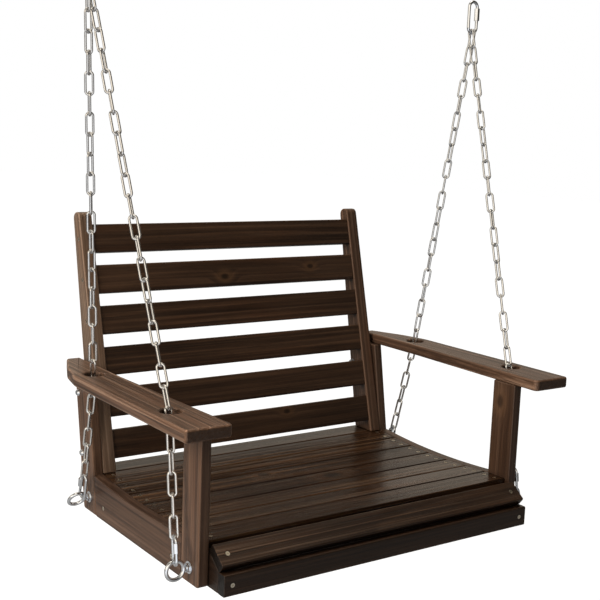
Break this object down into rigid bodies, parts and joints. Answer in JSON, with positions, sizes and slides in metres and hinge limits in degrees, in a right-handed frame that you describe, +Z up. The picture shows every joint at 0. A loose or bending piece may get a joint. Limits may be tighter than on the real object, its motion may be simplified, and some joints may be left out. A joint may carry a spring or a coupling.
{
  "type": "porch swing seat",
  "caption": "Slatted timber porch swing seat with raked back and armrests, hung on chain legs that join in a quick link at each side.",
  "frame": {"origin": "middle of the hanging line: halfway between the inner tops of the two upper quick links, where the swing is hooked up", "axes": "+X to the right as seen from in front of the seat, along the slats; +Y towards the back of the seat; +Z up"},
  "size_m": [0.849, 0.5788, 0.9687],
  "materials": {
    "stained_timber": "semi-gloss brown stain over straight-grained softwood",
    "stained_timber_dark": "semi-gloss espresso stain over straight-grained softwood",
    "zinc_steel": "bright zinc-plated steel",
    "brass_screws": "yellow-passivated wood screws"
  },
  "bodies": {
    "hangers": {"top_quick_link_left": "zinc_steel", "top_quick_link_right": "zinc_steel"},
    "swing": {"side_board_left": "stained_timber", "side_board_right": "stained_timber", "front_post_left": "stained_timber", "front_post_right": "stained_timber", "rear_post_left": "stained_timber", "rear_post_right": "stained_timber", "seat_bearer_left": "stained_timber", "seat_bearer_right": "stained_timber", "arm_left": "stained_timber", "arm_right": "stained_timber", "back_upright_left": "stained_timber", "back_upright_right": "stained_timber", "seat_slat_1": "stained_timber_dark", "seat_slat_2": "stained_timber_dark", "seat_slat_3": "stained_timber_dark", "seat_slat_4": "stained_timber_dark", "seat_slat_5": "stained_timber_dark", "seat_slat_6": "stained_timber_dark", "seat_slat_7": "stained_timber_dark", "seat_slat_8": "stained_timber_dark", "front_nose_slat": "stained_timber_dark", "front_apron": "stained_timber_dark", "back_slat_1": "stained_timber_dark", "back_slat_2": "stained_timber_dark", "back_slat_3": "stained_timber_dark", "back_slat_4": "stained_timber_dark", "back_slat_5": "stained_timber_dark", "back_slat_6": "stained_timber_dark", "chain_front_left": "zinc_steel", "chain_front_right": "zinc_steel", "chain_rear_left": "zinc_steel", "chain_rear_right": "zinc_steel", "eye_bolt_front_left": "zinc_steel", "eye_bolt_front_right": "zinc_steel", "eye_bolt_rear_left": "zinc_steel", "eye_bolt_rear_right": "zinc_steel", "eye_bolt_nuts": "zinc_steel", "eye_bolt_washers": "zinc_steel", "low_quick_link_front_left": "zinc_steel", "low_quick_link_front_right": "zinc_steel", "low_quick_link_rear_left": "zinc_steel", "low_quick_link_rear_right": "zinc_steel", "seat_screws": "brass_screws", "front_screws": "brass_screws", "side_screws": "brass_screws", "back_screws": "brass_screws", "back_bolts": "zinc_steel", "back_bolt_nuts": "zinc_steel", "back_bolt_washers": "zinc_steel"},
    "top_sleeve_left": {"top_sleeve_left": "zinc_steel"},
    "top_sleeve_right": {"top_sleeve_right": "zinc_steel"},
    "low_sleeve_front_left": {"low_sleeve_front_left": "zinc_steel"},
    "low_sleeve_rear_left": {"low_sleeve_rear_left": "zinc_steel"},
    "low_sleeve_front_right": {"low_sleeve_front_right": "zinc_steel"},
    "low_sleeve_rear_right": {"low_sleeve_rear_right": "zinc_steel"}
  },
  "joints": [
    {"name": "swing", "type": "hinge", "parent": "hangers", "child": "swing", "pos_m": [0, 0, -0.057], "axis": [1, 0, 0], "range_deg": [-30, 30]},
    {"name": "top_sleeve_travel_left", "type": "slide", "parent": "hangers", "child": "top_sleeve_left", "axis": [0, 0, -1], "range_m": [0, 0.012]},
    {"name": "top_sleeve_travel_right", "type": "slide", "parent": "hangers", "child": "top_sleeve_right", "axis": [0, 0, -1], "range_m": [0, 0.012]},
    {"name": "low_sleeve_travel_front_left", "type": "slide", "parent": "swing", "child": "low_sleeve_front_left", "axis": [-0.0067, -0.132, -0.9912], "range_m": [0, 0.01]},
    {"name": "low_sleeve_travel_rear_left", "type": "slide", "parent": "swing", "child": "low_sleeve_rear_left", "axis": [0.0246, 0.2357, -0.9715], "range_m": [0, 0.01]},
    {"name": "low_sleeve_travel_front_right", "type": "slide", "parent": "swing", "child": "low_sleeve_front_right", "axis": [0.0067, -0.132, -0.9912], "range_m": [0, 0.01]},
    {"name": "low_sleeve_travel_rear_right", "type": "slide", "parent": "swing", "child": "low_sleeve_rear_right", "axis": [-0.0246, 0.2357, -0.9715], "range_m": [0, 0.01]}
  ]
}
